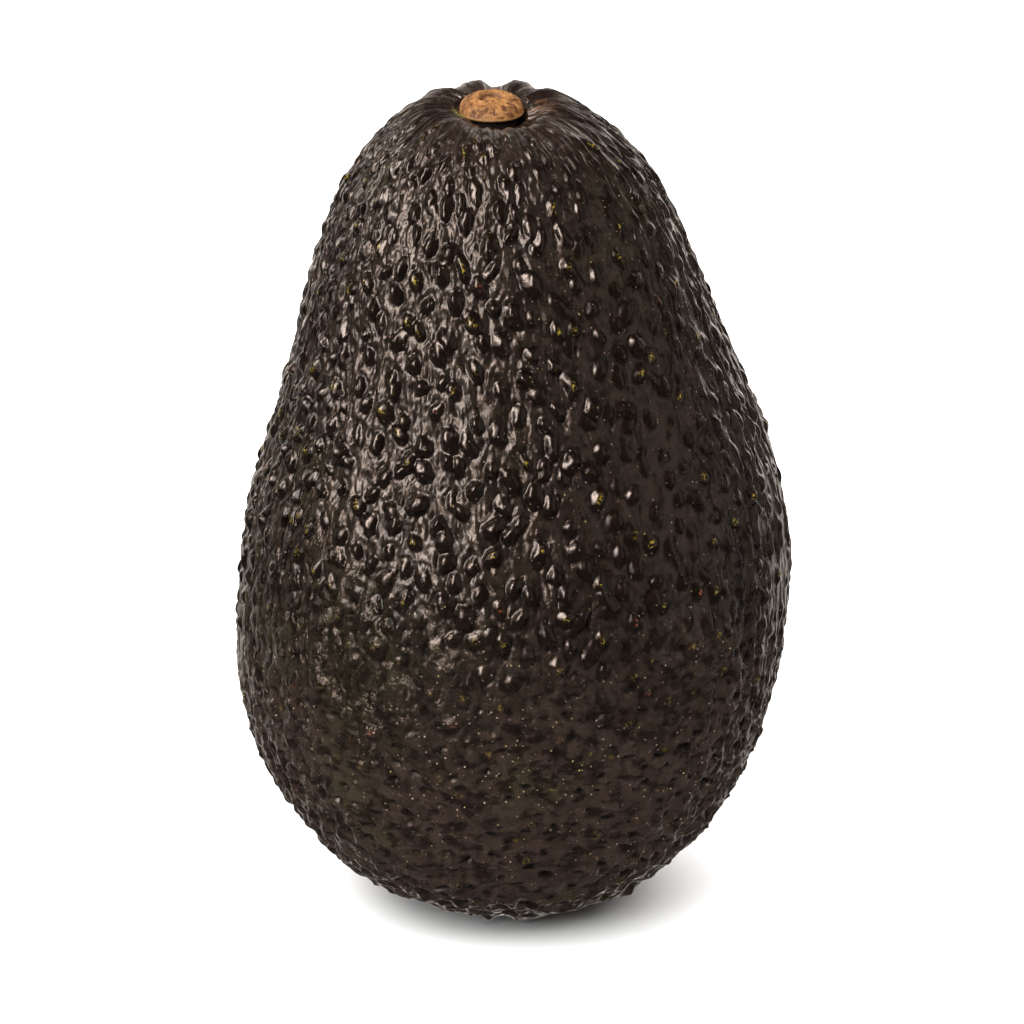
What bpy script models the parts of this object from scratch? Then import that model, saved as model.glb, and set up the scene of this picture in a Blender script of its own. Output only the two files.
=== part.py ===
"""A whole ripe avocado standing on its blunt end, with the dry stub of its stem still in its socket.

Two solids. The fruit grew as one piece, from the flat spot that it rests on to the hollow round its stem.
The stem button is a piece of its own: it dries, shrinks clear of the skin and can be flicked out.

Metres, +Z up. The origin is on the resting surface, below the middle of the fruit's widest ring.
"""

import math

import bpy

MM = 0.001

# The bowl is the blunt lower part, from the resting surface up to the widest ring.
WIDEST_RADIUS = 33.5 * MM
WIDEST_HEIGHT = 40.0 * MM
BOWL_DEPTH = 40.8 * MM  # a little over WIDEST_HEIGHT, so that the resting surface trims a flat spot
BOWL_FULLNESS = 2.2  # the exponent of a superellipse: 2 is an ellipse, and more is fuller

# The crown narrows from the widest ring to the stem end.
CROWN_RISE = 64.0 * MM
NECK_SLIMMING = 3.1 * MM  # taken off the radius of a plain ellipse at the neck
NECK_HEIGHT = 73.0 * MM
NECK_REACH = 30.0 * MM  # how far above and below NECK_HEIGHT the slimming reaches

# The skin dips into a hollow round the stem, and puckers into low folds on the way in.
HOLLOW_DEPTH = 3.4 * MM
HOLLOW_RADIUS = 6.6 * MM
HOLLOW_STEEPNESS = 8
FOLDS = 10
FOLD_HEIGHT = 0.3 * MM
FOLD_RADIUS = 8.5 * MM
FOLD_WIDTH = 3.0 * MM
FOLD_TURN = math.radians(-4.0)

# The socket in the middle of the hollow holds the stem button with a thin gap all round.
SOCKET_RADIUS = 4.4 * MM
SOCKET_FLOOR_HEIGHT = 98.7 * MM
SOCKET_FLOOR_RADIUS = 4.0 * MM
GAP = 0.3 * MM

# The fruit's core line isn't straight: it bellies to +X above the widest ring and leans to -X at the stem.
BELLY_SWAY = 1.3 * MM
BELLY_HEIGHT = 57.0 * MM
BELLY_REACH = 22.0 * MM
STEM_LEAN = 2.2 * MM
STEM_HEIGHT = 103.0 * MM
LEAN_POWER = 8  # how late the lean sets in on the way up

# The stem button is a flat-topped wooden dome with a thin rim that overhangs its foot.
BUTTON_FOOT_RADIUS = 3.1 * MM
BUTTON_RIM_RADIUS = 4.05 * MM
BUTTON_RIM_BOTTOM = 1.85 * MM
BUTTON_RIM_TOP = 2.3 * MM
BUTTON_TOP_RADIUS = 2.0 * MM
BUTTON_HEIGHT = 4.0 * MM
BUTTON_DIMPLE = 0.25 * MM

STEPS_ROUND = 60  # six for each fold
BOWL_RINGS = 16
CROWN_RINGS = 22
DOME_RINGS = 4
ON_AXIS = 1e-5  # points this close to the axis are one point
SHARP_ANGLE = math.radians(40.0)

FRUIT_COLOUR = (0.022, 0.016, 0.012, 1.0)
FRUIT_ROUGHNESS = 0.38
BUTTON_COLOUR = (0.42, 0.19, 0.065, 1.0)
BUTTON_ROUGHNESS = 0.65


def clear_scene():
    for thing in list(bpy.data.objects):
        bpy.data.objects.remove(thing, do_unlink=True)


def new_collection(name):
    collection = bpy.data.collections.new(name)
    bpy.context.scene.collection.children.link(collection)
    return collection


def new_material(name, colour, roughness):
    material = bpy.data.materials.new(name)
    material.use_nodes = True
    shader = material.node_tree.nodes["Principled BSDF"]
    shader.inputs["Base Color"].default_value = colour
    shader.inputs["Roughness"].default_value = roughness
    shader.inputs["Metallic"].default_value = 0.0
    return material


def drift(height):
    belly = BELLY_SWAY * math.exp(-(((height - BELLY_HEIGHT) / BELLY_REACH) ** 2))
    return belly - STEM_LEAN * (height / STEM_HEIGHT) ** LEAN_POWER


def sway(height):
    """How far the core line stands to +X at a height, from where it is at the widest ring."""
    return drift(height) - drift(WIDEST_HEIGHT)


def bowl_point(angle):
    """A point (radius, height) of the bowl's outline, a superellipse, from the widest ring at 0."""
    radius = WIDEST_RADIUS * math.cos(angle) ** (2.0 / BOWL_FULLNESS)
    height = WIDEST_HEIGHT - BOWL_DEPTH * math.sin(angle) ** (2.0 / BOWL_FULLNESS)
    return radius, height


def crown_point(angle):
    """A point (radius, height) of the crown's outline, from the widest ring at 0 to the axis at 90 degrees."""
    radius = WIDEST_RADIUS * math.cos(angle)
    height = WIDEST_HEIGHT + CROWN_RISE * math.sin(angle)
    from_neck = (height - NECK_HEIGHT) / NECK_REACH
    if abs(from_neck) < 1.0:
        radius -= NECK_SLIMMING * math.cos(from_neck * math.pi / 2.0) ** 2
    height -= HOLLOW_DEPTH / (1.0 + (radius / HOLLOW_RADIUS) ** HOLLOW_STEEPNESS)
    return radius, height


def fruit_outline():
    """Half the fruit's section, from the socket's middle out over the crown and down to the flat spot's middle."""
    socket = [(0.0, SOCKET_FLOOR_HEIGHT), (SOCKET_FLOOR_RADIUS, SOCKET_FLOOR_HEIGHT)]
    last_angle = math.acos(SOCKET_RADIUS / WIDEST_RADIUS)
    # Rings crowd towards the stem, where the outline turns most.
    shares = [1.0 - (ring / CROWN_RINGS) ** 1.4 for ring in range(CROWN_RINGS)]
    crown = [crown_point(last_angle * share) for share in shares]
    flat_angle = math.asin((WIDEST_HEIGHT / BOWL_DEPTH) ** (BOWL_FULLNESS / 2.0))
    bowl = [bowl_point(flat_angle * ring / BOWL_RINGS) for ring in range(BOWL_RINGS)]
    flat_radius = bowl_point(flat_angle)[0]
    return socket + crown + bowl + [(flat_radius, 0.0), (0.0, 0.0)]


def button_outline():
    """Half the button's section, from its dimpled top out to the rim, under it and in to the foot's middle."""
    outline = [(0.0, BUTTON_HEIGHT - BUTTON_DIMPLE), (BUTTON_TOP_RADIUS / 2.0, BUTTON_HEIGHT - BUTTON_DIMPLE)]
    for ring in range(DOME_RINGS + 1):
        angle = ring / DOME_RINGS * math.pi / 2.0
        radius = BUTTON_TOP_RADIUS + (BUTTON_RIM_RADIUS - BUTTON_TOP_RADIUS) * math.sin(angle)
        height = BUTTON_RIM_TOP + (BUTTON_HEIGHT - BUTTON_RIM_TOP) * math.cos(angle)
        outline.append((radius, height))
    outline.append((BUTTON_RIM_RADIUS, BUTTON_RIM_BOTTOM))
    outline.append((BUTTON_FOOT_RADIUS, BUTTON_RIM_BOTTOM - GAP))
    outline.append((BUTTON_FOOT_RADIUS, 0.0))
    outline.append((0.0, 0.0))
    return outline


def turned(name, outline, collection):
    """An object turned round Z from an outline of (radius, height) points that runs down its outer side."""
    mesh = bpy.data.meshes.new(name)
    points = [(radius, 0.0, height) for radius, height in outline]
    edges = [(index, index + 1) for index in range(len(points) - 1)]
    mesh.from_pydata(points, edges, [])
    thing = bpy.data.objects.new(name, mesh)
    collection.objects.link(thing)
    screw = thing.modifiers.new("Turn", "SCREW")
    screw.steps = STEPS_ROUND
    screw.render_steps = STEPS_ROUND
    screw.use_merge_vertices = True
    screw.merge_threshold = ON_AXIS
    screw.use_smooth_shade = True
    return thing


def apply_modifiers(thing):
    graph = bpy.context.evaluated_depsgraph_get()
    mesh = bpy.data.meshes.new_from_object(thing.evaluated_get(graph))
    thing.modifiers.clear()
    old = thing.data
    thing.data = mesh
    bpy.data.meshes.remove(old)
    mesh.name = thing.name


def fold(point):
    """How far a fold lifts a point of the turned crown."""
    if point.z < NECK_HEIGHT:
        return 0.0
    radius = math.hypot(point.x, point.y)
    nearness = math.exp(-(((radius - FOLD_RADIUS) / FOLD_WIDTH) ** 2))
    turn = math.atan2(point.y, point.x) - FOLD_TURN
    return FOLD_HEIGHT * nearness * math.cos(FOLDS * turn)


def finish_piece(thing, material):
    thing.data.materials.append(material)
    thing.data.shade_smooth()
    thing.data.set_sharp_from_angle(angle=SHARP_ANGLE)


def make_fruit(collection):
    fruit = turned("fruit", fruit_outline(), collection)
    apply_modifiers(fruit)
    for vertex in fruit.data.vertices:
        vertex.co.z += fold(vertex.co)
        vertex.co.x += sway(vertex.co.z)
    finish_piece(fruit, new_material("avocado_skin", FRUIT_COLOUR, FRUIT_ROUGHNESS))


def make_stem_button(collection):
    button = turned("stem_button", button_outline(), collection)
    apply_modifiers(button)
    foot_height = SOCKET_FLOOR_HEIGHT + GAP
    button.location = (sway(foot_height), 0.0, foot_height)
    finish_piece(button, new_material("dry_stem", BUTTON_COLOUR, BUTTON_ROUGHNESS))


def main():
    clear_scene()
    avocado = new_collection("avocado")
    make_fruit(avocado)
    make_stem_button(avocado)


main()
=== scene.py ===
"""The looks of a whole ripe avocado: a leathery pebbled skin with a dry stem button at its narrow end.

Metres, +Z up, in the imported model's frame. The skin is one dense grid, turned round the fruit's core line.
It carries the pebbles, folds and strands as real relief, and only creases finer than that are bump in its
material. The camera stands at -Y.
"""

import itertools
import math

import bpy
import numpy as np
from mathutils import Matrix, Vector


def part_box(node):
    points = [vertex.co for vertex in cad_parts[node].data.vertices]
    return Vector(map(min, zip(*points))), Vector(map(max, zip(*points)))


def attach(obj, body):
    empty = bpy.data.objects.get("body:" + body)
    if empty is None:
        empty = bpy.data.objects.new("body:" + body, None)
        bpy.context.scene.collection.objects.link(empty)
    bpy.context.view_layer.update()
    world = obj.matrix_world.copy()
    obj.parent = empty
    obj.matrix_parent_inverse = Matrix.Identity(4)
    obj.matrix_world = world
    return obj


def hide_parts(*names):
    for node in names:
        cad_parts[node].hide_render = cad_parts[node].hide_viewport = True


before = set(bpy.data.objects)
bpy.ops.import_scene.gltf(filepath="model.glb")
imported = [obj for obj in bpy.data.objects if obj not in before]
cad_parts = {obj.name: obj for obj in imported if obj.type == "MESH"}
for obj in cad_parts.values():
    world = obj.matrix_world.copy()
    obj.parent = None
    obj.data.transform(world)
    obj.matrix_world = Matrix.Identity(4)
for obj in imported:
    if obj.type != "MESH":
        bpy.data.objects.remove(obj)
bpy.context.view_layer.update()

MM = 0.001
SEED = 7

# The fruit's outline: the same driving sizes as its CAD solid.
WIDEST_RADIUS = 33.5 * MM
WIDEST_HEIGHT = 40.0 * MM
BOWL_DEPTH = 40.8 * MM
BOWL_FULLNESS = 2.2
CROWN_RISE = 64.0 * MM
NECK_SLIMMING = 3.1 * MM
NECK_HEIGHT = 73.0 * MM
NECK_REACH = 30.0 * MM
HOLLOW_DEPTH = 3.4 * MM
HOLLOW_RADIUS = 6.6 * MM
HOLLOW_STEEPNESS = 8
SOCKET_RADIUS = 4.4 * MM
SOCKET_RIM_HEIGHT = 100.2 * MM
SOCKET_FLOOR_HEIGHT = 98.7 * MM
SOCKET_FLOOR_RADIUS = 4.0 * MM

# Its core line bellies to +X above the widest ring and leans to -X at the stem.
BELLY_SWAY = 1.3 * MM
BELLY_HEIGHT = 57.0 * MM
BELLY_REACH = 22.0 * MM
STEM_LEAN = 2.2 * MM
STEM_HEIGHT = 103.0 * MM
LEAN_POWER = 8

# The grid that carries the relief.
SPACING = 0.21 * MM
OUTLINE_SAMPLES = 400

# Camera: a long lens, 20 degrees above the horizon.
CAMERA_ELEVATION = math.radians(20.0)
CAMERA_DISTANCE = 1.0
CAMERA_AIM = Vector((-0.0001, 0.0, 0.0496))
CAMERA_LENS = 286.0  # mm
CAMERA_SENSOR = 36.0  # mm


# ---------------------------------------------------------------- small helpers


def smoothstep(value, low, high):
    share = np.clip((value - low) / (high - low), 0.0, 1.0)
    return share * share * (3.0 - 2.0 * share)


def bell(value, centre, width):
    return np.exp(-(((value - centre) / width) ** 2))


def unit_vectors(count, rng):
    vectors = rng.normal(size=(count, 3))
    return vectors / np.linalg.norm(vectors, axis=1, keepdims=True)


# A cell's corner draws its gradient by a hash of its place and the seed. Large odd numbers mix them well.
GRADIENTS = unit_vectors(256, np.random.default_rng(SEED))
PLACE_FACTORS = (73856093, 19349663, 83492791)
SEED_FACTOR = 7919
MIXING_FACTOR = 1274126177


def noise(points, seed=0):
    """Gradient noise at an array of points, about -0.7 to 0.7, with cells one unit wide."""
    cell = np.floor(points).astype(np.int64)
    offset = points - cell
    fade = offset**3 * (offset * (offset * 6.0 - 15.0) + 10.0)
    total = np.zeros(points.shape[:-1])
    for corner in itertools.product((0, 1), repeat=3):
        at = cell + corner
        key = seed * SEED_FACTOR
        for axis, factor in enumerate(PLACE_FACTORS):
            key = key ^ (at[..., axis] * factor)
        key = ((key ^ (key >> 11)) * MIXING_FACTOR) >> 9
        gradient = GRADIENTS[key & (len(GRADIENTS) - 1)]
        weight = np.prod(np.where(corner, fade, 1.0 - fade), axis=-1)
        total += weight * np.einsum("...i,...i", gradient, offset - corner)
    return total


def ridges(points, seed=0):
    """Ridged noise, 0 to 1: thin crests with rounded valleys between them."""
    return np.clip(1.0 - 2.2 * np.abs(noise(points, seed)), 0.0, 1.0)


# ---------------------------------------------------------------- the fruit's smooth body


def drift(height):
    belly = BELLY_SWAY * bell(height, BELLY_HEIGHT, BELLY_REACH)
    return belly - STEM_LEAN * (height / STEM_HEIGHT) ** LEAN_POWER


def sway(height):
    """How far the core line stands to +X at a height, from where it is at the widest ring."""
    return drift(height) - drift(WIDEST_HEIGHT)


def bowl(angle):
    """The bowl's outline, a superellipse, as (radius, height), from the widest ring at 0."""
    radius = WIDEST_RADIUS * np.cos(angle) ** (2.0 / BOWL_FULLNESS)
    height = WIDEST_HEIGHT - BOWL_DEPTH * np.sin(angle) ** (2.0 / BOWL_FULLNESS)
    return radius, height


def crown(angle):
    """The crown's outline as (radius, height), from the widest ring at 0 to the axis at 90 degrees."""
    radius = WIDEST_RADIUS * np.cos(angle)
    height = WIDEST_HEIGHT + CROWN_RISE * np.sin(angle)
    from_neck = np.clip((height - NECK_HEIGHT) / NECK_REACH, -1.0, 1.0)
    radius = radius - NECK_SLIMMING * np.cos(from_neck * np.pi / 2.0) ** 2
    height = height - HOLLOW_DEPTH / (1.0 + (radius / HOLLOW_RADIUS) ** HOLLOW_STEEPNESS)
    return radius, height


def outline():
    """Half the fruit's section, evenly spaced from the flat spot's middle up to the socket's middle."""
    flat_angle = np.arcsin((WIDEST_HEIGHT / BOWL_DEPTH) ** (BOWL_FULLNESS / 2.0))
    bowl_radii, bowl_heights = bowl(np.linspace(flat_angle, 0.0, OUTLINE_SAMPLES))
    last_angle = np.arccos(SOCKET_RADIUS / WIDEST_RADIUS)
    crown_radii, crown_heights = crown(np.linspace(0.0, last_angle, OUTLINE_SAMPLES)[1:])
    radii = np.concatenate([[0.0], bowl_radii, crown_radii, [SOCKET_FLOOR_RADIUS, 0.0]])
    heights = np.concatenate([[0.0], bowl_heights, crown_heights, [SOCKET_FLOOR_HEIGHT] * 2])
    travelled = np.concatenate([[0.0], np.cumsum(np.hypot(np.diff(radii), np.diff(heights)))])
    rows = int(travelled[-1] / SPACING)
    along = np.linspace(0.0, travelled[-1], rows + 1)
    return along, np.interp(along, travelled, radii), np.interp(along, travelled, heights)


class Body:
    """The smooth fruit as a grid: rows run up the outline, and columns run round the core line."""

    def __init__(self):
        along, radii, heights = outline()
        # The first and last points lie on the axis, and are added as single points later.
        self.length = along[-1]
        self.along = along[1:-1]
        self.radius = radii[1:-1]
        self.height = heights[1:-1]
        slope_r = np.gradient(self.radius, self.along)
        slope_z = np.gradient(self.height, self.along)
        steepness = np.hypot(slope_r, slope_z)
        self.normal_r = slope_z / steepness
        self.normal_z = -slope_r / steepness
        self.columns = int(2.0 * np.pi * WIDEST_RADIUS / SPACING / 4) * 4
        self.turn = np.arange(self.columns) * 2.0 * np.pi / self.columns
        self.shape = (len(self.along), self.columns)
        self.row_step = self.along[1] - self.along[0]
        self.points = self.lifted(np.zeros(self.shape))

    def lifted(self, relief):
        """The grid's points, each moved out along the smooth surface's normal by its relief."""
        radius = self.radius[:, None] + relief * self.normal_r[:, None]
        height = self.height[:, None] + relief * self.normal_z[:, None]
        x = radius * np.cos(self.turn) + sway(self.height)[:, None]
        y = radius * np.sin(self.turn)
        return np.stack([x, y, height + np.zeros(self.shape)], axis=-1)

    def stem_distance(self):
        """How far each row is from the socket's rim along the skin."""
        rim = self.along[np.argmin(np.hypot(self.radius - SOCKET_RADIUS, self.height - SOCKET_RIM_HEIGHT))]
        return (rim - self.along)[:, None] + np.zeros(self.shape)


# ---------------------------------------------------------------- relief


PEBBLE_REACH = 1.9  # how far from its middle a pebble is felt, in its own half widths
PEBBLE_JITTER = 0.2  # how far pebbles stray from even spacing, as a share of it
PEBBLE_LEAN = 0.2  # how unlike their mirror images they are: higher at one side, and out of square
PEBBLE_SKEW = 0.2
NET_REACH = 4.6 * MM  # how far out a pebble can still be one of a place's two nearest
NET_STRETCH = 1.3
FAR = 9.0  # where no pebble is near, in mm or in half widths


class Pebbles:
    """Domes scattered over the skin. Each row of values below has one entry for each pebble."""

    def __init__(self, body, rng, spacing, size, height, stretch):
        step_area = body.radius * 2.0 * np.pi * body.row_step
        order_at = np.cumsum(step_area / spacing**2)
        count = int(order_at[-1])
        order = np.arange(count) + 0.5
        step = np.interp(order, order_at, spacing)
        golden = np.pi * (3.0 - math.sqrt(5.0))
        self.along = np.interp(order, order_at, body.along)
        self.along += step * rng.normal(0.0, PEBBLE_JITTER, count)
        radius = np.maximum(np.interp(self.along, body.along, body.radius), MM)
        self.turn = order * golden + step * rng.normal(0.0, PEBBLE_JITTER, count) / radius
        self.turn %= 2.0 * np.pi
        stretched = np.sqrt(np.interp(self.along, body.along, stretch) * rng.uniform(0.8, 1.25, count))
        size = step * rng.uniform(*size, count)
        self.width = size / stretched
        self.length = size * stretched
        self.height = self.width * rng.uniform(*height, count)
        self.tint = rng.uniform(0.0, 1.0, count)
        self.lean = rng.normal(0.0, PEBBLE_LEAN, (count, 2))
        self.skew = rng.normal(0.0, PEBBLE_SKEW, count)

    def near(self, body, index, reach_across, reach_up, warp):
        """The grid's places near a pebble, and how far each one is from its middle, across and up."""
        middle = self.along[index] / body.row_step - 1.0
        tall = int(reach_up / body.row_step) + 2
        rows = np.arange(max(0, int(middle) - tall), min(len(body.along), int(middle) + tall))
        radius = max(body.radius[min(max(int(middle), 0), len(body.along) - 1)], 2.0 * MM)
        wide = min(int(reach_across / radius / body.turn[1]) + 2, body.columns // 2 - 1)
        centre = int(self.turn[index] / body.turn[1])
        columns = np.arange(centre - wide, centre + wide)
        turned = columns * body.turn[1] - self.turn[index]
        window = np.ix_(rows, columns % body.columns)
        across = turned[None, :] * body.radius[rows][:, None] + warp[0][window]
        up = body.along[rows][:, None] - self.along[index] + warp[1][window]
        return window, across, up

    def net(self, body, warp):
        """Twice how far each place is from the border between its two nearest pebbles, in mm."""
        nearest = np.full(body.shape, FAR)
        second = np.full(body.shape, FAR)
        for index in range(len(self.along)):
            window, across, up = self.near(body, index, NET_REACH, NET_REACH * NET_STRETCH, warp)
            distance = np.hypot(across, up / NET_STRETCH) / MM
            second[window] = np.minimum(second[window], np.maximum(distance, nearest[window]))
            nearest[window] = np.minimum(nearest[window], distance)
        return second - nearest

    def stamp(self, body, warp):
        """Every pebble on the grid, as its height, the distance to the nearest one's middle (1 at its edge)
        and that one's tint."""
        relief = np.zeros(body.shape)
        nearness = np.full(body.shape, FAR)
        tint = np.zeros(body.shape)
        for index in range(len(self.along)):
            reach = (PEBBLE_REACH * self.width[index], PEBBLE_REACH * self.length[index])
            window, across, up = self.near(body, index, *reach, warp)
            across = (across + self.skew[index] * up) / self.width[index]
            up = up / self.length[index]
            distance = np.hypot(across, up)
            tilted = 1.0 + self.lean[index, 0] * across + self.lean[index, 1] * up
            dome = self.height[index] * np.clip(1.0 - distance**2, 0.0, 1.0) * tilted
            relief[window] = np.maximum(relief[window], dome)
            closer = distance < nearness[window]
            nearness[window] = np.where(closer, distance, nearness[window])
            tint[window] = np.where(closer, self.tint[index], tint[window])
        return relief, nearness, tint


# The lobes round the hollow, as (turn in degrees, height in mm): 0 is +X and 90 is the far side.
LOBES = ((-4, 0.3), (33, 0.5), (68, 0.9), (104, 0.9), (138, 0.5), (172, 0.4), (200, 0.3), (236, 0.25),
         (262, 0.15), (290, 0.2), (322, 0.3))
LOBE_WIDTH = 9.5  # degrees
LOBE_FROM_STEM = 4.0  # mm, as the next one
LOBE_REACH = 2.8

# On one side the skin falls away from the stem with hardly a hollow. Elsewhere it comes up to the button.
FRONT_TURN = math.radians(-68.0)
FRONT_DROP = 1.0  # mm, as the next one
HOLLOW_FILL = 1.2

# Where the marks of this fruit are: 0 is +X, and -90 or 270 degrees is the camera's side.
CREASED_TURN = math.radians(-115.0)
FOIL_TURN = 235.0  # degrees, as the next two
SLIVER_TURN = 207.0
STAIN_TURN = 2.0

# Pebbles, the grains between them and the pits of the low bowl. A size is a share of the spacing, and a
# height is a share of the pebble's own half width. Each is drawn evenly between its two values.
PEBBLE_SPACING = 3.2 * MM
PEBBLE_CROWDING = 0.5 * MM  # how much closer pebbles stand at the stem
PEBBLE_SIZE = (0.30, 0.46)
PEBBLE_HEIGHT = (0.56, 0.82)
GRAIN_SPACING = 0.36  # of the pebbles' spacing
GRAIN_SIZE = (0.34, 0.56)
GRAIN_HEIGHT = (0.15, 0.4)
PIT_SPACING = 2.9 * MM
PIT_SIZE = (0.08, 0.28)
PIT_DEPTH = (0.25, 0.5)
GRAIN_SHARE = 0.75  # of the grains' height shows on the most creased skin

# How high the rest of the relief stands, in mm.
SWELL_HEIGHTS = (0.8, 0.2)
CREST_HEIGHTS = (0.03, 0.12)  # on smooth skin, and what creased skin adds
NET_HEIGHT = 0.34
MOAT_DEPTH = 0.06
CRINKLE_HEIGHT = 0.07
CHAIN_HEIGHTS = (0.4, 0.2)
LOW_FOLD_HEIGHTS = (0.55, 0.32)

# Places count as hollows where they lie below the mean of their surroundings, this far out, and get painted
# shade.
HOLLOW_SHADE_REACH = 0.8 * MM
HOLLOW_SHADE_DEPTH = 0.15  # mm below it for a full hollow


class Zones:
    """Each place's coordinates in mm, and how much of each kind of skin is there, from 0 to 1."""

    def __init__(self, body):
        self.points = body.points / MM
        self.turn = body.turn[None, :] + np.zeros(body.shape)
        self.height = body.height[:, None] / MM + np.zeros(body.shape)
        self.from_stem = body.stem_distance() / MM
        self.near_stem = 1.0 - smoothstep(self.from_stem, 5.0, 30.0)
        degrees = np.degrees(self.turn)

        # The skin is pebbled above, and soft and pitted on the low bowl.
        uneven = 12.0 * noise(self.points / 12.0, 40) + 5.0 * noise(self.points / 4.0, 42)
        self.upper = smoothstep(self.height + uneven, 28.0, 50.0)

        # It is creased most on one side.
        facing = 0.5 + 0.5 * np.cos(self.turn - CREASED_TURN) + 0.35 * noise(self.points / 9.0, 41)
        self.creased = smoothstep(facing, 0.6, 0.95) * smoothstep(self.height + uneven, 25.0, 44.0)

        # In a foil-like patch the pebbles give way to crinkles.
        foil = bell(degrees, FOIL_TURN, 30.0)
        risen = smoothstep(self.height + uneven - 13.0 * foil, 28.0, 50.0)
        self.pebbled = smoothstep(self.from_stem, 2.5, 9.0) * (0.3 + 0.7 * risen)
        above_bowl = smoothstep(self.height + uneven, 26.0, 38.0)
        above_patch = smoothstep(self.height + uneven, 52.0, 64.0)
        self.foil = foil * (above_bowl * (1.0 - above_patch))

        # Both flanks have long thin strands.
        from_front = np.abs((degrees + 270.0) % 360.0 - 180.0)
        behind = smoothstep(from_front, 112.0, 150.0)
        self.flank = smoothstep(from_front, 36.0, 60.0) * (1.0 - 0.6 * behind)


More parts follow.
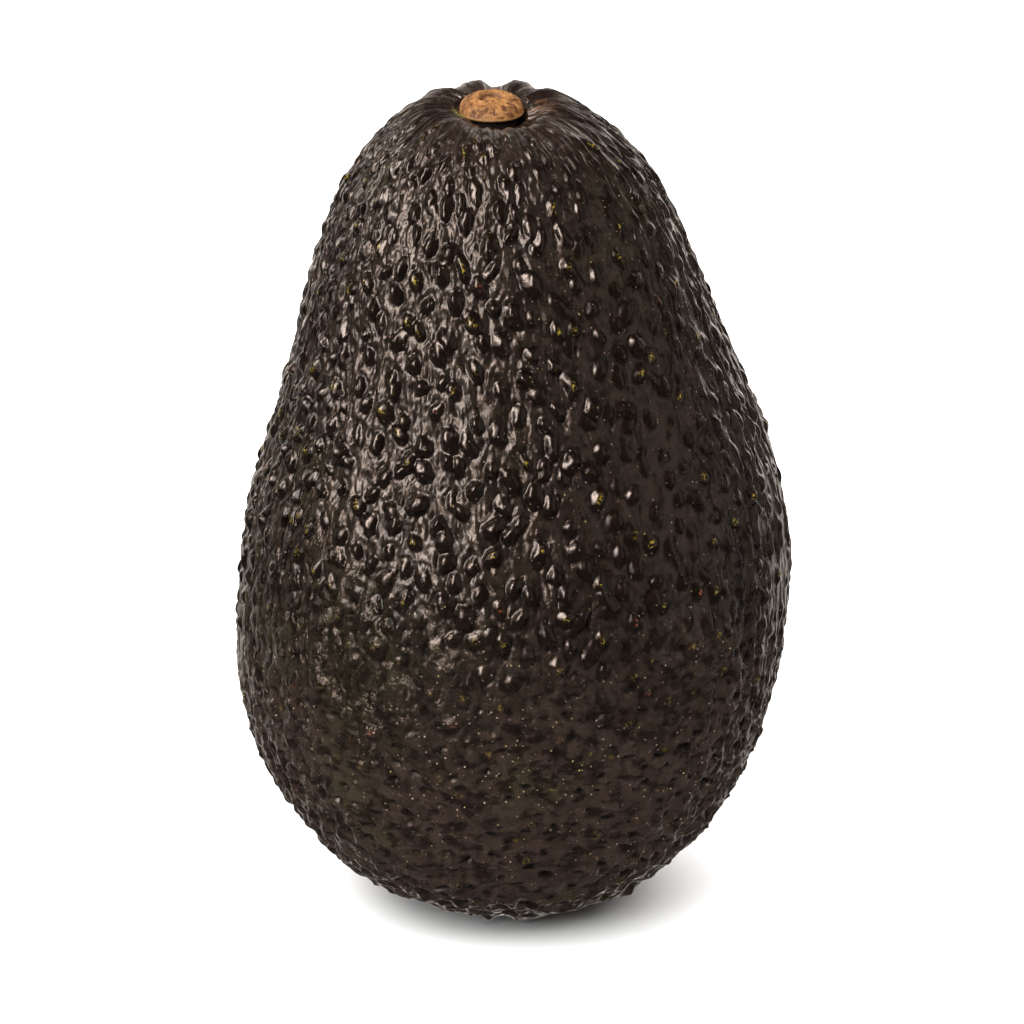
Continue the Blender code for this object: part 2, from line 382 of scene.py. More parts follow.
def skin_relief(body):
    """Everything that stands off the smooth body, in metres, with the masks that colour it."""
    rng = np.random.default_rng(SEED)
    zones = Zones(body)
    points, turn, from_stem = zones.points, zones.turn, zones.from_stem
    upper, creased = zones.upper, zones.creased
    warp_u = (noise(points / 1.9, 3) * 0.5 + noise(points / 0.9, 4) * 0.22) * MM
    warp_v = (noise(points / 2.3, 5) * 0.7 + noise(points / 0.9, 6) * 0.22) * MM

    # Pebbles are drawn out towards the stem, and pits are round on the low bowl.
    row_near_stem = zones.near_stem[:, 0]
    row_upper = smoothstep(body.height / MM, 28.0, 48.0)
    spacing = PEBBLE_SPACING - PEBBLE_CROWDING * row_near_stem
    stretch = 1.35 + 1.2 * row_near_stem**1.5 - 0.5 * (1.0 - row_upper)
    pebbles = Pebbles(body, rng, spacing, PEBBLE_SIZE, PEBBLE_HEIGHT, stretch)
    domes, nearness, tint = pebbles.stamp(body, (warp_u, warp_v))
    crest = np.clip(1.0 - pebbles.net(body, (warp_u * 1.3, warp_v)) / 1.1, 0.0, 1.0) ** 1.5
    crest *= np.clip(0.75 + 1.2 * noise(points / 3.5, 45), 0.0, 1.2)
    grains = Pebbles(body, rng, spacing * GRAIN_SPACING, GRAIN_SIZE, GRAIN_HEIGHT, stretch * 1.5)
    grain, _, _ = grains.stamp(body, (warp_u * 0.5, warp_v * 0.5))
    pit_spacing = np.full(len(body.along), PIT_SPACING)
    pits = Pebbles(body, rng, pit_spacing, PIT_SIZE, PIT_DEPTH, 0.5 + 0.9 * row_upper)
    pit, from_pit, _ = pits.stamp(body, (warp_u * 1.1, warp_v * 0.9))
    low_net = np.clip(1.0 - pits.net(body, (warp_u * 1.6, warp_v * 1.3)) / 1.5, 0.0, 1.0)

    # Pebbles melt into the skin except on its creased side.
    softened = averaged(domes, int(0.45 * MM / SPACING)) * 0.95
    domes = (softened + (domes - softened) * (0.35 + 0.65 * creased)) / MM
    dome_mask = 1.0 - smoothstep(nearness, 0.8, 1.08)
    between = 1.0 - 0.9 * dome_mask
    moat = bell(nearness, 1.08, 0.15)
    patchy = 0.9 + 0.15 * np.cos(turn - CREASED_TURN) + 0.4 * noise(points / 14.0, 8)
    pitted = (1.0 - creased) * smoothstep(from_stem, 8.0, 16.0)

    relief = noise(points / 22.0, 1) * SWELL_HEIGHTS[0] + noise(points / 9.0, 2) * SWELL_HEIGHTS[1]
    relief += domes * zones.pebbled * patchy * (0.85 + 0.15 * creased)
    crest_height = CREST_HEIGHTS[0] + CREST_HEIGHTS[1] * creased
    relief += crest * crest_height * smoothstep(from_stem, 6.0, 14.0) * (0.6 + 0.4 * upper)
    relief += low_net * NET_HEIGHT * (1.0 - creased) * (1.0 - upper)
    relief -= moat * MOAT_DEPTH * smoothstep(from_stem, 2.5, 9.0) * (0.1 + 0.9 * creased)
    grainy = (0.15 + 0.85 * creased) * smoothstep(from_stem, 3.0, 10.0)
    relief += grain / MM * between * GRAIN_SHARE * grainy
    relief += noise(points / 0.75, 12) * CRINKLE_HEIGHT * creased
    relief -= (pit / MM * (1.0 - 0.8 * creased) * (1.0 - 0.6 * upper) * between
               * smoothstep(from_stem, 8.0, 16.0))
    relief += chains(body, turn) * smoothstep(from_stem, 6.0, 16.0) * (0.65 + 0.35 * upper)
    stranded = (0.5 + 0.5 * between) * smoothstep(from_stem, 4.0, 12.0)
    relief += strands(body, zones) * stranded
    relief += low_folds(points) * (1.0 - smoothstep(zones.height, 12.0, 32.0))
    relief += stem_folds(turn, from_stem)
    front = (0.5 + 0.5 * np.cos(turn - FRONT_TURN)) ** 4
    relief -= FRONT_DROP * front * bell(from_stem, 3.0, 4.5)
    relief += HOLLOW_FILL * (1.0 - front) ** 2 * bell(from_stem, 1.3, 1.8)

    # The flat spot and the socket stay as smooth as the CAD solid.
    at_rest = smoothstep(body.radius / MM, 6.5, 10.5)[:, None] + (zones.height > 20.0)
    relief *= np.clip(at_rest, 0.0, 1.0)
    relief = np.where(from_stem < 0.0, np.minimum(relief, 0.0), relief)

    below = averaged(relief, int(HOLLOW_SHADE_REACH / SPACING)) - relief
    degrees = np.degrees(turn)
    masks = {
        # Painted shade: where the relief lies low, the skin's colour goes near-black.
        "hollow": np.clip(below / HOLLOW_SHADE_DEPTH, 0.0, 1.0),
        "dome": dome_mask * zones.pebbled,
        "upper": upper,
        "creased": creased,
        "tint": tint,
        "nearness": nearness,
        "from_stem": from_stem,
        "foil": zones.foil,
        "flank": zones.flank,
        # The pit mask paints shade into the pits' colour, and makes them rougher.
        "pit": (1.0 - smoothstep(from_pit, 0.5, 1.1)) * pitted,
        "sliver": bell(degrees, SLIVER_TURN, 14.0) * bell(from_stem, 0.7, 0.7),
        "stain": bell((degrees + 180.0) % 360.0, STAIN_TURN + 180.0, 16.0) * bell(from_stem, 1.8, 1.6),
    }
    return relief * MM, masks


def averaged(values, reach):
    """The mean of each value's neighbours, reach steps each way on the grid, across the seam too."""
    padded = np.pad(values, ((reach, reach), (0, 0)), mode="edge")
    padded = np.pad(padded, ((0, 0), (reach, reach)), mode="wrap")
    for axis in (0, 1):
        total = np.cumsum(np.insert(padded, 0, 0.0, axis=axis), axis=axis)
        span = 2 * reach + 1
        after = np.take(total, np.arange(span, total.shape[axis]), axis=axis)
        padded = (after - np.take(total, np.arange(total.shape[axis] - span), axis=axis)) / span
    return padded


def girth(body):
    """Each row's radius in mm, kept from shrinking to nothing on the axis."""
    return np.maximum(body.radius[:, None] / MM, 4.0)


def meridian_points(body, turn, width, length):
    """Places on the skin in cells of the given size in mm, as wide at every height and drawn out along it."""
    around = girth(body) / width
    up = body.along[:, None] / MM / length + 0.0 * turn
    return np.stack([np.cos(turn) * around, np.sin(turn) * around, up], -1)


def chains(body, turn):
    """Soft folds that run up the fruit and join its pebbles into chains."""
    wide = noise(meridian_points(body, turn, 1.9, 6.5), 16) * CHAIN_HEIGHTS[0]
    return wide + noise(meridian_points(body, turn, 1.2, 4.0), 17) * CHAIN_HEIGHTS[1]


def strands(body, zones):
    """Wavy crests that run up the fruit: as many round its neck as round its middle, and highest on its
    flanks, with finer ones on its creased side."""
    turn = zones.turn + 0.9 * noise(zones.points / (3.5, 3.5, 4.5), 46) / girth(body)
    up = body.along[:, None] / body.length + 0.0 * turn
    circle = np.stack([np.cos(turn), np.sin(turn), up], -1)
    coarse = ridges(circle * (14.0, 14.0, 11.0), 9) ** 1.6 * (0.12 + 0.26 * zones.flank)
    coarse += ridges(circle * (22.0, 22.0, 16.0), 47) ** 1.6 * 0.2 * zones.flank
    fine = ridges(meridian_points(body, zones.turn, 0.85, 2.6), 10) ** 2 * 0.16 * zones.creased
    return coarse + fine


def low_folds(points):
    """Soft folds that lie across the bowl."""
    wide = noise(points / (4.5, 4.5, 1.7), 14) * LOW_FOLD_HEIGHTS[0]
    return wide + noise(points / (2.0, 2.0, 1.1), 48) * LOW_FOLD_HEIGHTS[1]


def stem_folds(turn, from_stem):
    """Lobes round the hollow, and fine wrinkles that run out from the stem and fade into the pebbles."""
    circle = np.stack([np.cos(turn), np.sin(turn)], -1)

    def around(repeats, along_scale, seed):
        ring = circle * repeats / (2.0 * np.pi)
        slow = np.concatenate([ring * 0.5, (from_stem / 4.0)[..., None]], -1)
        wander = 0.25 * noise(slow, seed + 50)[..., None]
        place = np.concatenate([ring + wander, (from_stem / along_scale)[..., None]], -1)
        return ridges(place, seed)

    lobes = np.zeros_like(turn)
    for lobe_turn, lobe_height in LOBES:
        away = (np.degrees(turn) - lobe_turn + 180.0) % 360.0 - 180.0
        lobes = np.maximum(lobes, lobe_height * np.exp(-np.abs(away / LOBE_WIDTH) ** 3))
    lobes = lobes * bell(from_stem, LOBE_FROM_STEM, LOBE_REACH)
    coarse = (around(50.0, 14.0, 22) ** 1.5 - 0.3) * (0.3 - 0.1 * np.sin(turn))
    fine = (around(120.0, 9.0, 23) ** 2 - 0.3) * 0.1
    return lobes + (coarse + fine) * (1.0 - smoothstep(from_stem, 7.0, 15.0))


# ---------------------------------------------------------------- meshes


def grid_mesh(name, points, first_pole, last_pole, masks):
    """A closed mesh from a grid whose columns wrap round, with a point on the axis at each end."""
    rows, columns = points.shape[:2]
    flat = np.concatenate([points.reshape(-1, 3), [first_pole], [last_pole]])
    index = np.arange(rows * columns).reshape(rows, columns)
    after = np.roll(index, -1, axis=1)
    quads = np.stack([index[:-1], after[:-1], after[1:], index[1:]], -1).reshape(-1, 4)
    first, last = rows * columns, rows * columns + 1
    start_fan = np.stack([after[0], index[0], np.full(columns, first)], -1)
    end_fan = np.stack([index[-1], after[-1], np.full(columns, last)], -1)

    mesh = bpy.data.meshes.new(name)
    corners = np.concatenate([quads.ravel(), start_fan.ravel(), end_fan.ravel()])
    sizes = np.concatenate([np.full(len(quads), 4), np.full(2 * columns, 3)])
    mesh.vertices.add(len(flat))
    mesh.vertices.foreach_set("co", flat.astype(np.float32).ravel())
    mesh.loops.add(len(corners))
    mesh.loops.foreach_set("vertex_index", corners.astype(np.int32))
    mesh.polygons.add(len(sizes))
    mesh.polygons.foreach_set("loop_start", (np.cumsum(sizes) - sizes).astype(np.int32))
    mesh.update(calc_edges=True)
    mesh.polygons.foreach_set("use_smooth", np.ones(len(sizes), bool))

    for mask, values in masks.items():
        layer = mesh.attributes.new(mask, "FLOAT", "POINT")
        with_poles = np.append(values.ravel(), [values[0, 0], values[-1, 0]])
        layer.data.foreach_set("value", with_poles.astype(np.float32))
    wrapped_uv(mesh, rows, columns, quads, start_fan, end_fan)
    mesh.validate()
    return mesh


def wrapped_uv(mesh, rows, columns, quads, start_fan, end_fan):
    """Lays the grid out flat as a rectangle: once round across it, and once along up it."""

    def across(faces):
        column = (faces % columns).astype(float)
        # A face that crosses the seam takes its far side from one full turn on.
        wraps = (column.max(axis=1) - column.min(axis=1) > columns / 2)[:, None]
        return np.where(wraps & (column < columns / 2), column + columns, column)

    quad_u, quad_v = across(quads), quads // columns
    fans = []
    for fan, row, pole_row in ((start_fan, 0, -1), (end_fan, rows - 1, rows)):
        edge = across(fan[:, :2])
        u = np.column_stack([edge, edge.mean(axis=1)])
        v = np.column_stack([np.full((len(fan), 2), row), np.full(len(fan), pole_row)])
        fans.append((u, v))
    u = np.concatenate([quad_u.ravel()] + [fan[0].ravel() for fan in fans]) / columns
    v = (np.concatenate([quad_v.ravel()] + [fan[1].ravel() for fan in fans]) + 1.0) / (rows + 1.0)
    layer = mesh.uv_layers.new(name="OFBake")
    layer.data.foreach_set("uv", np.column_stack([u, v]).astype(np.float32).ravel())


def add_piece(name, mesh, material, node):
    piece = bpy.data.objects.new(name, mesh)
    bpy.context.scene.collection.objects.link(piece)
    mesh.materials.append(material)
    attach(piece, "root")
    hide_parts(node)
    return piece


# ---------------------------------------------------------------- materials


HALF = (0.5, 0.5, 0.5)  # the middle of a noise colour's range


class Graph:
    """A node tree, with short calls to add and join nodes."""

    def __init__(self, tree):
        self.tree = tree

    def add(self, kind, inputs=(), **settings):
        node = self.tree.nodes.new(kind)
        for key, value in settings.items():
            setattr(node, key, value)
        for key, value in dict(inputs).items():
            self.set(node.inputs[key], value)
        return node

    def set(self, socket, value):
        if isinstance(value, bpy.types.NodeSocket):
            self.tree.links.new(value, socket)
        else:
            socket.default_value = value

    def set_shader(self, **inputs):
        """Sets the shader's inputs, each named with _ for the spaces in its name."""
        shader = self.tree.nodes["Principled BSDF"]
        for name, value in inputs.items():
            self.set(shader.inputs[name.replace("_", " ")], value)

    def attribute(self, name):
        return self.add("ShaderNodeAttribute", attribute_name=name).outputs["Fac"]

    def object_position(self):
        return self.add("ShaderNodeTexCoord").outputs["Object"]

    def math(self, operation, first, second=0.5):
        return self.add("ShaderNodeMath", {0: first, 1: second}, operation=operation).outputs[0]

    def times(self, first, second):
        return self.math("MULTIPLY", first, second)

    def ramp(self, value, low, high, start=0.0, end=1.0, easing="SMOOTHSTEP"):
        """The value, from low to high, as start to end."""
        inputs = {"Value": value, "From Min": low, "From Max": high, "To Min": start, "To Max": end}
        return self.add("ShaderNodeMapRange", inputs, interpolation_type=easing).outputs["Result"]

    def mix(self, share, first, second):
        inputs = {"Factor": share, 6: first, 7: second}
        return self.add("ShaderNodeMix", inputs, data_type="RGBA").outputs[2]

    def noise(self, position, size, detail=3.0, roughness=0.5, **settings):
        """Noise whose features are about size metres across."""
        inputs = {"Vector": position, "Scale": 1.0 / size, "Detail": detail, "Roughness": roughness}
        return self.add("ShaderNodeTexNoise", inputs, **settings).outputs[0]

    def vector(self, operation, first, second):
        return self.add("ShaderNodeVectorMath", {0: first, 1: second}, operation=operation).outputs[0]

    def cells(self, position, size):
        inputs = {"Vector": position, "Scale": 1.0 / size}
        return self.add("ShaderNodeTexVoronoi", inputs).outputs

    def facets(self, position, size):
        """The height of flat facets about size metres across, each tilted its own way."""
        cells = self.cells(position, size)
        offset = self.vector("SUBTRACT", position, cells["Position"])
        tilt = self.vector("SUBTRACT", cells["Color"], HALF)
        dot = self.add("ShaderNodeVectorMath", {0: offset, 1: tilt}, operation="DOT_PRODUCT")
        return dot.outputs["Value"]

    def bump(self, height, strength, distance, under=None):
        """The normal of a bump, distance metres high, on top of another bump's normal."""
        inputs = {"Height": height, "Strength": strength, "Distance": distance}
        if under:
            inputs["Normal"] = under
        return self.add("ShaderNodeBump", inputs).outputs[0]


def new_material(name):
    material = bpy.data.materials.new(name)
    material.use_nodes = True
    return material, Graph(material.node_tree)


def colour(red, green, blue):
    return (red, green, blue, 1.0)


# The skin, low on the fruit and higher up: purple-brown where it is ripe, and olive where it ripened last.
RIPE = (colour(0.0220, 0.0142, 0.0106), colour(0.0100, 0.0062, 0.0044))
OLIVE = (colour(0.0225, 0.0178, 0.0105), colour(0.0110, 0.0088, 0.0042))
FOIL_GREEN = colour(0.0110, 0.0090, 0.0040)
MOTTLE = colour(0.018, 0.010, 0.0075)
BLOTCH = colour(0.0042, 0.0025, 0.0018)
DOME = colour(0.0034, 0.0018, 0.0012)
STEM_END = colour(0.009, 0.0045, 0.0033)
# Near-black painted shade for the skin's hollows.
HOLLOW_SHADE = colour(0.0007, 0.0004, 0.0003)
# Near-black painted shade in the pits.
PIT_SHADE = colour(0.0010, 0.0006, 0.0004)
DOTS = (colour(0.34, 0.26, 0.19), colour(0.26, 0.15, 0.12), colour(0.30, 0.25, 0.10))
GREEN_TIP = colour(0.24, 0.17, 0.015)
RUSTY_TIP = colour(0.22, 0.05, 0.02)
UNRIPE_LIP = colour(0.30, 0.27, 0.07)
STAIN = colour(0.11, 0.045, 0.018)
SKIN_TINT = colour(1.0, 0.84, 0.74)

# The stem button's dry wood.
WOOD = (colour(0.205, 0.088, 0.020), colour(0.108, 0.038, 0.008))
WOOD_SPECK = colour(0.055, 0.018, 0.005)
WOOD_FLECK_HIGHLIGHT = colour(0.33, 0.16, 0.050)
# Pale flecks, painted as highlight spots.
WOOD_FIBRE = colour(0.045, 0.012, 0.002)
WOOD_RIM = colour(0.30, 0.15, 0.06)
WOOD_PIT = colour(0.03, 0.009, 0.004)
# Near-black painted shade under the button's rim.
WOOD_UNDERSIDE_SHADE = colour(0.012, 0.006, 0.004)

# Crests that run up the flanks: how many cells round, how many along, and how high the bump stands.
FLANK_CRESTS = ((14.0, 11.0, 0.27 * MM), (24.0, 15.0, 0.17 * MM))


def skin_colour(g, position):
    dome, upper, creased = g.attribute("dome"), g.attribute("upper"), g.attribute("creased")
    tint, from_stem = g.attribute("tint"), g.attribute("from_stem")

    # Broad patches, then smaller mottling.
    patches = g.noise(position, 16.0 * MM)
    base = g.mix(g.ramp(patches, 0.53, 0.70), g.mix(upper, *RIPE), g.mix(upper, *OLIVE))
    base = g.mix(g.times(g.attribute("foil"), 0.6), base, FOIL_GREEN)
    mottle = g.noise(position, 2.6 * MM, 4.0, 0.6)
    base = g.mix(g.ramp(mottle, 0.5, 0.75, 0.0, 0.4), base, MOTTLE)
    dark = g.noise(g.vector("MULTIPLY", position, (1.0, 1.0, 1.6)), 2.2 * MM, 4.0, 0.65)
    base = g.mix(g.ramp(dark, 0.47, 0.60, 0.0, 0.85), base, BLOTCH)

    # Pebbles and the stem end are darker. Hollows and pits get near-black painted shade, hollows most on the
    # creased side.
    base = g.mix(g.times(dome, 0.85), base, DOME)
    base = g.mix(g.times(g.ramp(from_stem, 14.0, 4.0), 0.8), base, STEM_END)
    shaded = g.times(g.attribute("hollow"), g.ramp(creased, 0.0, 1.0, 0.35, 0.8))
    base = g.mix(shaded, base, HOLLOW_SHADE)
    base = g.mix(g.times(g.attribute("pit"), 0.95), base, PIT_SHADE)

    # Lenticels: tiny pale corky dots.
    dots = g.cells(position, 0.8 * MM)
    split = g.add("ShaderNodeSeparateColor", {0: dots["Color"]}).outputs
    is_dot = g.times(g.ramp(dots["Distance"], 0.17, 0.08), g.ramp(split[0], 0.15, 0.7))
    dot_colour = g.mix(split[1], DOTS[0], DOTS[1])
    dot_colour = g.mix(g.ramp(split[2], 0.7, 0.8), dot_colour, DOTS[2])
    is_dot = g.times(is_dot, g.ramp(g.noise(position, 5.0 * MM), 0.4, 0.6, 0.25, 0.9))
    base = g.mix(g.times(is_dot, g.ramp(upper, 0.0, 1.0, 1.0, 0.5)), base, dot_colour)

    # Some pebbles are yellow-green just below their tips, and a few are rusty.
    tip = g.times(g.ramp(g.attribute("nearness"), 0.5, 0.1), g.ramp(tint, 0.70, 0.76))
    tip = g.times(tip, dome)
    tip = g.times(tip, g.ramp(g.noise(position, 0.35 * MM, 2.0), 0.50, 0.62))
    tip_colour = g.mix(g.ramp(tint, 0.95, 0.96), GREEN_TIP, RUSTY_TIP)
    base = g.mix(g.times(tip, 0.6), base, tip_colour)

    # Beside the stem button: a sliver of unripe lip, and a brown stain.
    ragged = g.ramp(g.noise(position, 1.0 * MM, 3.0, 0.7), 0.42, 0.58)
    base = g.mix(g.times(g.attribute("sliver"), ragged), base, UNRIPE_LIP)
    return g.mix(g.times(g.attribute("stain"), ragged), base, STAIN)


def skin_roughness(g, position):
    """Glossy on pebbles and smooth skin, duller between the pebbles of the creased side, dull in pits."""
    creased = g.attribute("creased")
    near_stem = g.ramp(g.attribute("from_stem"), 14.0, 4.0)
    rough = g.ramp(g.noise(position, 1.2 * MM), 0.35, 0.7, 0.18, 0.30)
    rough = g.math("ADD", rough, g.times(near_stem, 0.06))
    rough = g.math("ADD", rough, g.ramp(creased, 1.0, 0.0, 0.0, -0.05))
    where_creased = g.ramp(g.attribute("dome"), 0.0, 1.0, 0.12, -0.03)
    rough = g.math("ADD", rough, g.times(creased, where_creased))
    return g.math("ADD", rough, g.times(g.attribute("pit"), 0.4))


def skin_normal(g, position):
    """The skin's finest creases, as bump."""
    dome, creased = g.attribute("dome"), g.attribute("creased")

    # Creased foil between the pebbles, and larger crinkles in the foil-like patch.
    wander_inputs = {"Vector": position, "Scale": 1.0 / (0.5 * MM), "Detail": 1.0}
    wander = g.add("ShaderNodeTexNoise", wander_inputs).outputs["Color"]
    wander = g.vector("SUBTRACT", wander, HALF)
    wander = g.vector("MULTIPLY", wander, (0.35 * MM, 0.35 * MM, 0.7 * MM))
    warped = g.vector("ADD", position, wander)
    foil = g.facets(g.vector("MULTIPLY", warped, (1.0, 1.0, 0.5)), 0.75 * MM)
    amount = g.times(g.ramp(dome, 0.0, 1.0, 0.5, 0.2), g.ramp(creased, 0.0, 1.0, 0.12, 1.0))
    normal = g.bump(foil, amount, 1.0)
    plates = g.facets(g.vector("MULTIPLY", warped, (1.0, 1.0, 0.8)), 1.9 * MM)
    normal = g.bump(plates, g.times(g.attribute("foil"), 0.8), 1.0, normal)

    # Thin wavy crests that run up the flanks.
    uv = g.add("ShaderNodeUVMap", uv_map="OFBake").outputs[0]
    place = g.add("ShaderNodeSeparateXYZ", {0: uv}).outputs
    wave = g.times(g.math("SUBTRACT", g.noise(position, 4.0 * MM, 1.0), 0.5), 0.10)
    around = g.math("ADD", g.times(place[0], 2.0 * math.pi), wave)
    for count, lengths, distance in FLANK_CRESTS:
        cosine = g.times(g.math("COSINE", around), count)
        sine = g.times(g.math("SINE", around), count)
        up = g.times(place[1], lengths)
        spot = g.add("ShaderNodeCombineXYZ", {0: cosine, 1: sine, 2: up}).outputs[0]
        from_crest = g.math("ABSOLUTE", g.math("SUBTRACT", g.noise(spot, 1.0, 0.0), 0.5))
        normal = g.bump(g.ramp(from_crest, 0.06, 0.0), g.attribute("flank"), distance, normal)

    # Wrinkles finer still, drawn out up the fruit.
    drawn_out = g.vector("MULTIPLY", position, (1.0, 1.0, 0.3))
    wrinkles = g.noise(drawn_out, 0.42 * MM, 2.0, 0.6, noise_type="RIDGED_MULTIFRACTAL")
    amount = g.times(g.ramp(creased, 0.0, 1.0, 0.15, 1.0), g.ramp(dome, 0.0, 1.0, 1.0, 0.5))
    return g.bump(wrinkles, amount, 0.045 * MM, normal)


def skin_material():
    material, g = new_material("avocado_skin")
    position = g.object_position()
    g.set_shader(Base_Color=skin_colour(g, position), Roughness=skin_roughness(g, position),
                 Normal=skin_normal(g, position), IOR=1.42, Specular_Tint=SKIN_TINT,
                 Coat_Weight=0.35, Coat_Roughness=0.1, Coat_IOR=1.45)
    return material


def stem_material():
    material, g = new_material("dry_stem")
    position = g.object_position()
    blotch = g.noise(position, 1.6 * MM, 4.0, 0.6)
    base = g.mix(g.ramp(blotch, 0.35, 0.7), *WOOD)
    specks = g.noise(position, 0.35 * MM, 3.0, 0.6)
    base = g.mix(g.ramp(specks, 0.47, 0.68, 0.0, 0.75), base, WOOD_SPECK)
    # Pale flecks that stand in for highlight spots: a painted highlight.
    highlight_flecks = g.noise(position, 0.5 * MM, 3.0, 0.6)
    base = g.mix(g.ramp(highlight_flecks, 0.5, 0.65, 0.0, 0.5), base, WOOD_FLECK_HIGHLIGHT)
    base = g.mix(g.ramp(g.attribute("fibre"), 0.38, 0.85, 0.0, 0.95), base, WOOD_FIBRE)
    base = g.mix(g.times(g.attribute("rim"), 0.7), base, WOOD_RIM)
    base = g.mix(g.times(g.attribute("pit"), 0.9), base, WOOD_PIT)
    # The underside below the rim is painted near-black as shade.
    base = g.mix(g.attribute("under"), base, WOOD_UNDERSIDE_SHADE)
    grain = g.noise(position, 0.25 * MM, 3.0, 0.6)
    g.set_shader(Base_Color=base, Roughness=g.ramp(blotch, 0.3, 0.7, 0.55, 0.75),
                 Normal=g.bump(grain, 0.8, 0.05 * MM), Specular_IOR_Level=0.3)
    return material


# ---------------------------------------------------------------- pieces


def make_skin():
    body = Body()
    relief, masks = skin_relief(body)
    points = body.lifted(relief)
    points[..., 2] = np.maximum(points[..., 2], 0.0)
    middle = (sway(0.0), 0.0, 0.0)
    socket_middle = (sway(SOCKET_FLOOR_HEIGHT), 0.0, SOCKET_FLOOR_HEIGHT)
    mesh = grid_mesh("avocado_skin", points, middle, socket_middle, masks)
    return add_piece("avocado_skin", mesh, skin_material(), "fruit")


# The stem button: the same foot and rim as its CAD solid, under a dome with a dimpled plateau.
BUTTON_COLUMNS = 300
BUTTON_STEP = 0.07 * MM
BUTTON_FOOT_RADIUS = 3.1 * MM
BUTTON_RIM_BOTTOM = 1.85 * MM
BUTTON_RIM_TOP = 2.3 * MM
BUTTON_PLATEAU = 2.0 * MM
BUTTON_GAP = 0.3 * MM
BUTTON_BEVEL_WIDTH = 0.12 * MM  # under the rim
BUTTON_BEVEL_HEIGHT = 0.15 * MM
BUTTON_DOME_INSET = 0.03 * MM  # from the rim
BUTTON_HEADROOM = 0.2 * MM  # left under the CAD solid's top for lumps
BUTTON_DIMPLE = 0.25 * MM
BUTTON_SHIFT = 0.3 * MM  # it sits a little to -X in its socket
BUTTON_TILT = 0.13  # its top rises away from the camera

# The pits in its top, as (x, y, radius) in mm from its middle, and the groove round them.
BUTTON_PITS = ((0.15, 0.95, 0.5), (0.95, 0.35, 0.4), (-1.05, 0.3, 0.5), (-0.6, -0.35, 0.4), (0.2, -0.5, 0.3))
GROOVE_RADIUS = 1.35  # mm
GROOVE_TURN = 2.0  # radians, to the middle of the groove. It is open on the other side.

# How far its pits and fibres sink, and its lumps and the ring round its plateau rise, in mm.
PIT_SINK = 0.6
FIBRE_SINK = 0.12
LUMP_HEIGHTS = (0.16, 0.07)
RING_HEIGHT = 0.14


def button_outline(low, high):
    """Half the button's section, from the foot's middle out to the rim and in over the dome."""
    rim = (high.x - low.x) / 2.0
    plateau = high.z - low.z - BUTTON_HEADROOM
    points = [(0.0, 0.0), (BUTTON_FOOT_RADIUS, 0.0), (BUTTON_FOOT_RADIUS, BUTTON_RIM_BOTTOM - BUTTON_GAP)]
    points += [(rim - BUTTON_BEVEL_WIDTH, BUTTON_RIM_BOTTOM), (rim, BUTTON_RIM_BOTTOM + BUTTON_BEVEL_HEIGHT)]
    for angle in np.linspace(0.0, np.pi / 2.0, 12):
        radius = BUTTON_PLATEAU + (rim - BUTTON_DOME_INSET - BUTTON_PLATEAU) * math.cos(angle)
        points.append((radius, BUTTON_RIM_TOP + (plateau - BUTTON_RIM_TOP) * math.sin(angle)))
    dimple = plateau - BUTTON_DIMPLE
    points += [(BUTTON_PLATEAU * 0.7, plateau), (BUTTON_PLATEAU * 0.45, dimple), (0.0, dimple)]
    radii, heights = np.array(points).T
    travelled = np.concatenate([[0.0], np.cumsum(np.hypot(np.diff(radii), np.diff(heights)))])
    along = np.arange(0.0, travelled[-1], BUTTON_STEP)
    return np.interp(along, travelled, radii)[1:], np.interp(along, travelled, heights)[1:]


def button_pits(flat, radius, turn, on_top):
    """Where the top is pitted, from 0 to 1: round pits, and a curved groove that is open on one side."""
    pits = np.zeros_like(radius)
    for x, y, size in BUTTON_PITS:
        distance = np.hypot(flat[..., 0] - x, (flat[..., 1] - y) * 1.3) + 0.12 * noise(flat / 0.35, 33)
        pits = np.maximum(pits, on_top * (1.0 - smoothstep(distance, size * 0.5, size)))
    groove = bell(radius / MM, GROOVE_RADIUS, 0.2) * smoothstep(np.cos(turn - GROOVE_TURN), -0.3, 0.3)
    return np.maximum(pits, 0.8 * (groove * on_top))


def button_fibres(flat, circle, radius):
    """Ridges that run down the button's side, coarse and fine, broken here and there."""
    radial = np.concatenate([circle, radius[..., None] / MM], -1)
    coarse = ridges(radial * (8.0, 8.0, 0.7), 31)
    fine = 0.85 * ridges(radial * (17.0, 17.0, 0.9), 38)
    return np.maximum(coarse, fine) * np.clip(0.75 + 1.6 * noise(flat / 0.7, 37), 0.0, 1.0)


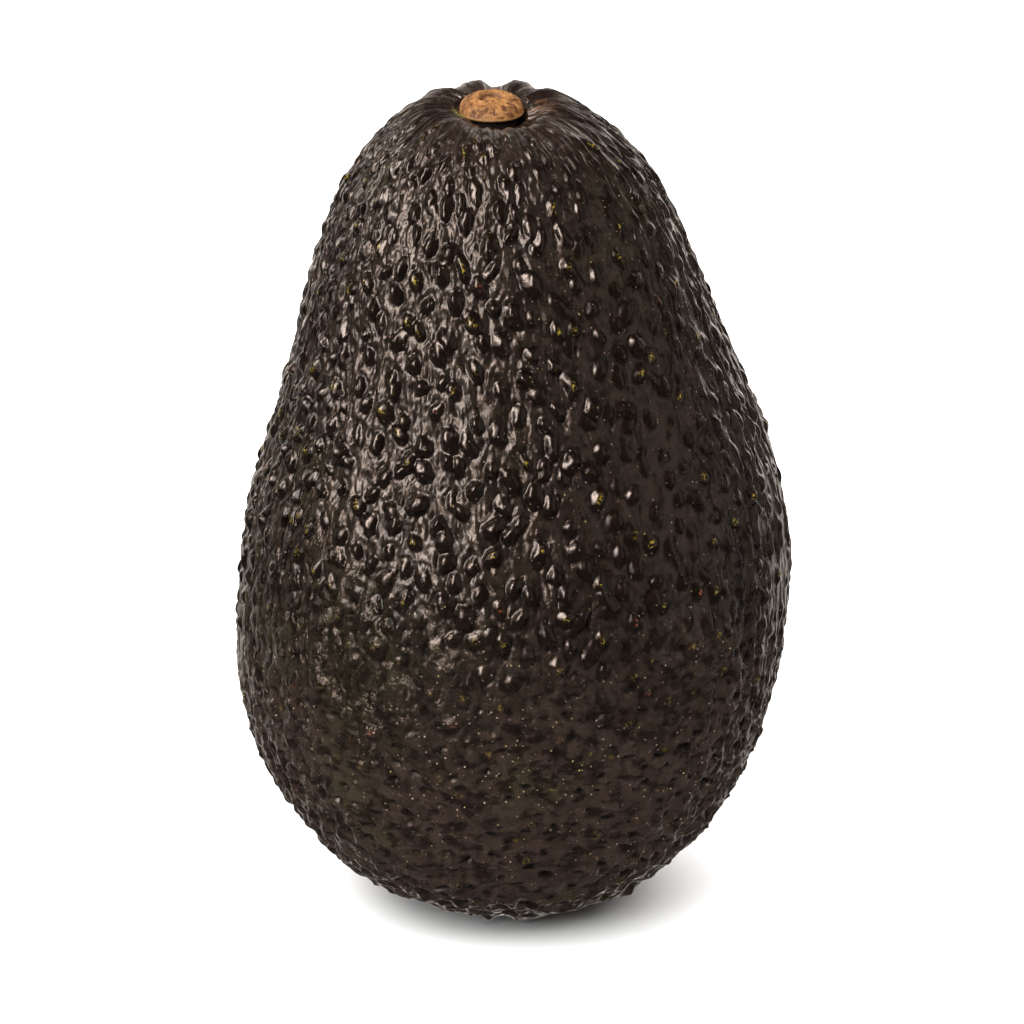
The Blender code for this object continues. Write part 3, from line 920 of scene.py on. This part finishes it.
def make_button():
    low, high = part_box("stem_button")
    centre = (low + high) / 2.0
    radii, heights = button_outline(low, high)
    turn = np.arange(BUTTON_COLUMNS) * 2.0 * np.pi / BUTTON_COLUMNS
    radius = radii[:, None] + 0.0 * turn
    height = heights[:, None] + 0.0 * turn
    flat = np.stack([radius * np.cos(turn), radius * np.sin(turn), height], -1) / MM
    circle = np.stack([np.cos(turn), np.sin(turn)], -1)[None] + 0.0 * radius[..., None]
    on_top = smoothstep(height / MM, 2.2, 2.6)
    on_side = smoothstep(radius / MM, 1.9, 2.6) * on_top
    pits = button_pits(flat, radius, turn, on_top)
    fibre = button_fibres(flat, circle, radius)
    rim = bell(height / MM, 2.02, 0.22) * (radius / MM > 3.3)

    lumps = noise(flat / 1.3, 34) * LUMP_HEIGHTS[0] + noise(flat / 0.5, 35) * LUMP_HEIGHTS[1]
    ring = bell(radius / MM, BUTTON_PLATEAU / MM, 0.3) * RING_HEIGHT
    sunk = smoothstep(fibre, 0.4, 1.0) * FIBRE_SINK * on_side + pits * PIT_SINK
    height = height + ((lumps + ring) * on_top - sunk) * MM + BUTTON_TILT * flat[..., 1] * MM * on_top
    wavering = np.concatenate([circle * 1.2, 0.0 * radius[..., None]], -1)
    radius = radius * (0.97 + 0.02 * noise(wavering, 36))
    x = centre.x - BUTTON_SHIFT + radius * np.cos(turn)
    points = np.stack([x, centre.y + radius * np.sin(turn), low.z + height], -1)
    first = (centre.x, centre.y, low.z)
    last = (centre.x, centre.y, float(points[-1, :, 2].mean()))
    # The underside below the rim, painted near-black as shade.
    under = 1.0 - smoothstep(height / MM, 1.6, 1.9)
    masks = {"pit": pits, "rim": rim, "fibre": fibre * on_side, "under": under}
    mesh = grid_mesh("stem_button_wood", points, first, last, masks)
    return add_piece("stem_button_wood", mesh, stem_material(), "stem_button")


# ---------------------------------------------------------------- stage


LIGHTS_AIM = Vector((0.0, 0.0, 0.05))
KEY_COLOUR = (1.0, 0.9, 0.83)
FILL_COLOUR = (1.0, 0.94, 0.86)
BACK_COLOUR = (1.0, 0.9, 0.82)
SURROUND_TINT = colour(1.0, 0.89, 0.81)  # what the fruit reflects. The camera sees plain white.
WHITE = colour(1.0, 1.0, 1.0)
FLOOR_RADIUS = 1.2
FLOOR_SINK = 0.05 * MM  # keeps the floor from touching the flat spot
FLOOR_COLOUR = colour(0.93, 0.93, 0.925)


def direction(azimuth, elevation):
    """From the fruit towards a place. Azimuth 0 is -Y, the camera's side, and positive turns towards +X."""
    a, e = math.radians(azimuth), math.radians(elevation)
    return Vector((math.sin(a) * math.cos(e), -math.cos(a) * math.cos(e), math.sin(e)))


def softbox(name, towards, distance, size, radiance, tint=(1.0, 1.0, 1.0)):
    """A soft panel that the camera doesn't see. size is its width and height, and distance is in metres."""
    width, height = size
    light = bpy.data.lights.new(name, "AREA")
    light.shape = "RECTANGLE"
    light.size = width
    light.size_y = height
    light.energy = radiance * math.pi * width * height
    light.color = tint
    lamp = bpy.data.objects.new(name, light)
    bpy.context.scene.collection.objects.link(lamp)
    lamp.location = LIGHTS_AIM + towards * distance
    lamp.rotation_euler = towards.to_track_quat("Z", "Y").to_euler()
    lamp.visible_camera = False
    return lamp


def make_lights():
    # The key is only a reflection, bright in the middle and dim towards its edges. The window and overhead
    # lights show no reflection: they light the fruit's colours and the floor.
    key = direction(-50.0, 32.0)
    softbox("key_core", key, 0.88, (0.3, 0.6), 17.0, KEY_COLOUR).visible_diffuse = False
    softbox("key_panel", key, 0.9, (0.75, 1.25), 2.7, KEY_COLOUR).visible_diffuse = False
    softbox("window_softbox", direction(-50.0, 34.0), 0.9, (0.9, 0.9), 5.0).visible_glossy = False
    softbox("overhead_softbox", direction(20.0, 88.0), 1.0, (2.6, 2.6), 3.6).visible_glossy = False
    softbox("fill_softbox", direction(75.0, 15.0), 0.9, (1.0, 1.2), 0.33, FILL_COLOUR)
    for name, azimuth in (("back_right_softbox", 150.0), ("back_left_softbox", -150.0)):
        softbox(name, direction(azimuth, 20.0), 0.9, (0.3, 0.9), 1.5, BACK_COLOUR)


def make_world():
    """A white surround behind the fruit that falls off to a dim room on the camera's side."""
    world = bpy.data.worlds.new("studio")
    bpy.context.scene.world = world
    world.use_nodes = True
    g = Graph(world.node_tree)
    sides = g.add("ShaderNodeSeparateXYZ", {0: g.add("ShaderNodeTexCoord").outputs["Generated"]}).outputs
    behind = g.ramp(sides["Y"], 0.42, 0.95, 0.03, 1.0)
    above_ground = g.ramp(sides["Z"], -0.95, -0.55, 0.1, 1.0)
    below_sky = g.ramp(sides["Z"], 0.0, 0.4, 1.0, 0.3)
    surround = g.times(behind, g.times(above_ground, below_sky))
    ground = g.ramp(sides["Z"], -0.35, -0.7, 0.0, 0.08, "LINEAR")
    reflected = g.math("MAXIMUM", surround, ground)
    seen = g.add("ShaderNodeLightPath").outputs["Is Camera Ray"]
    strength = g.add("ShaderNodeMix", {"Factor": seen, 2: reflected, 3: 1.0}).outputs[0]
    background = world.node_tree.nodes["Background"]
    g.set(background.inputs["Strength"], strength)
    g.set(background.inputs["Color"], g.mix(seen, SURROUND_TINT, WHITE))


def make_floor():
    """A pale round floor, no wider than the light on it, so that it meets the white surround unseen."""
    bpy.ops.mesh.primitive_circle_add(vertices=128, radius=FLOOR_RADIUS, fill_type="NGON",
                                      location=(0.0, 0.0, -FLOOR_SINK))
    floor = bpy.context.object
    floor.name = "floor"
    material, g = new_material("white_floor")
    g.set_shader(Base_Color=FLOOR_COLOUR, Roughness=0.9, Specular_IOR_Level=0.1)
    floor.data.materials.append(material)
    floor.visible_glossy = False


def make_camera():
    camera = bpy.data.cameras.new("camera")
    camera.lens = CAMERA_LENS
    camera.sensor_width = CAMERA_SENSOR
    view = bpy.data.objects.new("camera", camera)
    bpy.context.scene.collection.objects.link(view)
    towards = direction(0.0, math.degrees(CAMERA_ELEVATION))
    view.location = CAMERA_AIM + towards * CAMERA_DISTANCE
    view.rotation_euler = towards.to_track_quat("Z", "Y").to_euler()
    bpy.context.scene.camera = view


make_camera()
make_skin()
make_button()
make_floor()
make_lights()
make_world()
bpy.context.scene.view_settings.view_transform = "Standard"
